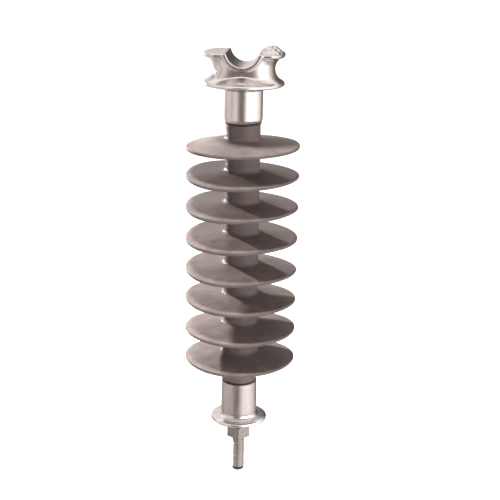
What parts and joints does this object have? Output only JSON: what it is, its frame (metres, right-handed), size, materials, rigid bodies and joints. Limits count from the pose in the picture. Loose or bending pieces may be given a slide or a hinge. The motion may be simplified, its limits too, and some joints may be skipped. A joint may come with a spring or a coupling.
{
  "type": "line post insulator",
  "caption": "Composite line-post insulator: rubber-shedded core rod between a slotted tie-top head and a flanged base with threaded stud, washers and hex nut.",
  "frame": {"origin": "centre of the base flange's underside, on the insulator's axis, where it seats on a crossarm or bracket", "axes": "+Z along the insulator's axis, from the stud towards the head; the conductor saddle runs along Y; the horn with the raised pad is on +X"},
  "size_m": [0.1364, 0.1364, 0.5423],
  "materials": {
    "glass_fibre": "gloss",
    "silicone_rubber": "satin",
    "sealant": "satin",
    "head_iron": "polished galvanised",
    "ferrule_steel": "polished galvanised",
    "flange_steel": "polished galvanised",
    "fastener_steel": "satin galvanised"
  },
  "bodies": {
    "insulator": {"core_rod": "glass_fibre", "sheath": "silicone_rubber", "shed_1": "silicone_rubber", "shed_2": "silicone_rubber", "shed_3": "silicone_rubber", "shed_4": "silicone_rubber", "shed_5": "silicone_rubber", "shed_6": "silicone_rubber", "shed_7": "silicone_rubber", "shed_8": "silicone_rubber", "top_seal": "sealant", "bottom_seal": "sealant", "tie_head": "head_iron", "top_ferrule": "ferrule_steel", "bottom_ferrule": "ferrule_steel", "base_flange": "flange_steel", "mounting_stud": "fastener_steel"},
    "washers": {"flat_washer": "fastener_steel", "lock_washer": "fastener_steel"},
    "nut": {"hex_nut": "fastener_steel"}
  },
  "joints": [
    {"name": "nut_travel", "type": "slide", "parent": "insulator", "child": "washers", "axis": [0, 0, -1], "range_m": [0, 0.0439]},
    {"name": "nut_spin", "type": "hinge", "parent": "washers", "child": "nut", "pos_m": [0, 0, -0.016], "axis": [0, 0, -1], "range_deg": [0, 6840]}
  ],
  "couplings": [
    {"joint": "nut_travel", "follows": "nut_spin", "m_per_rad": 0.00036748}
  ]
}
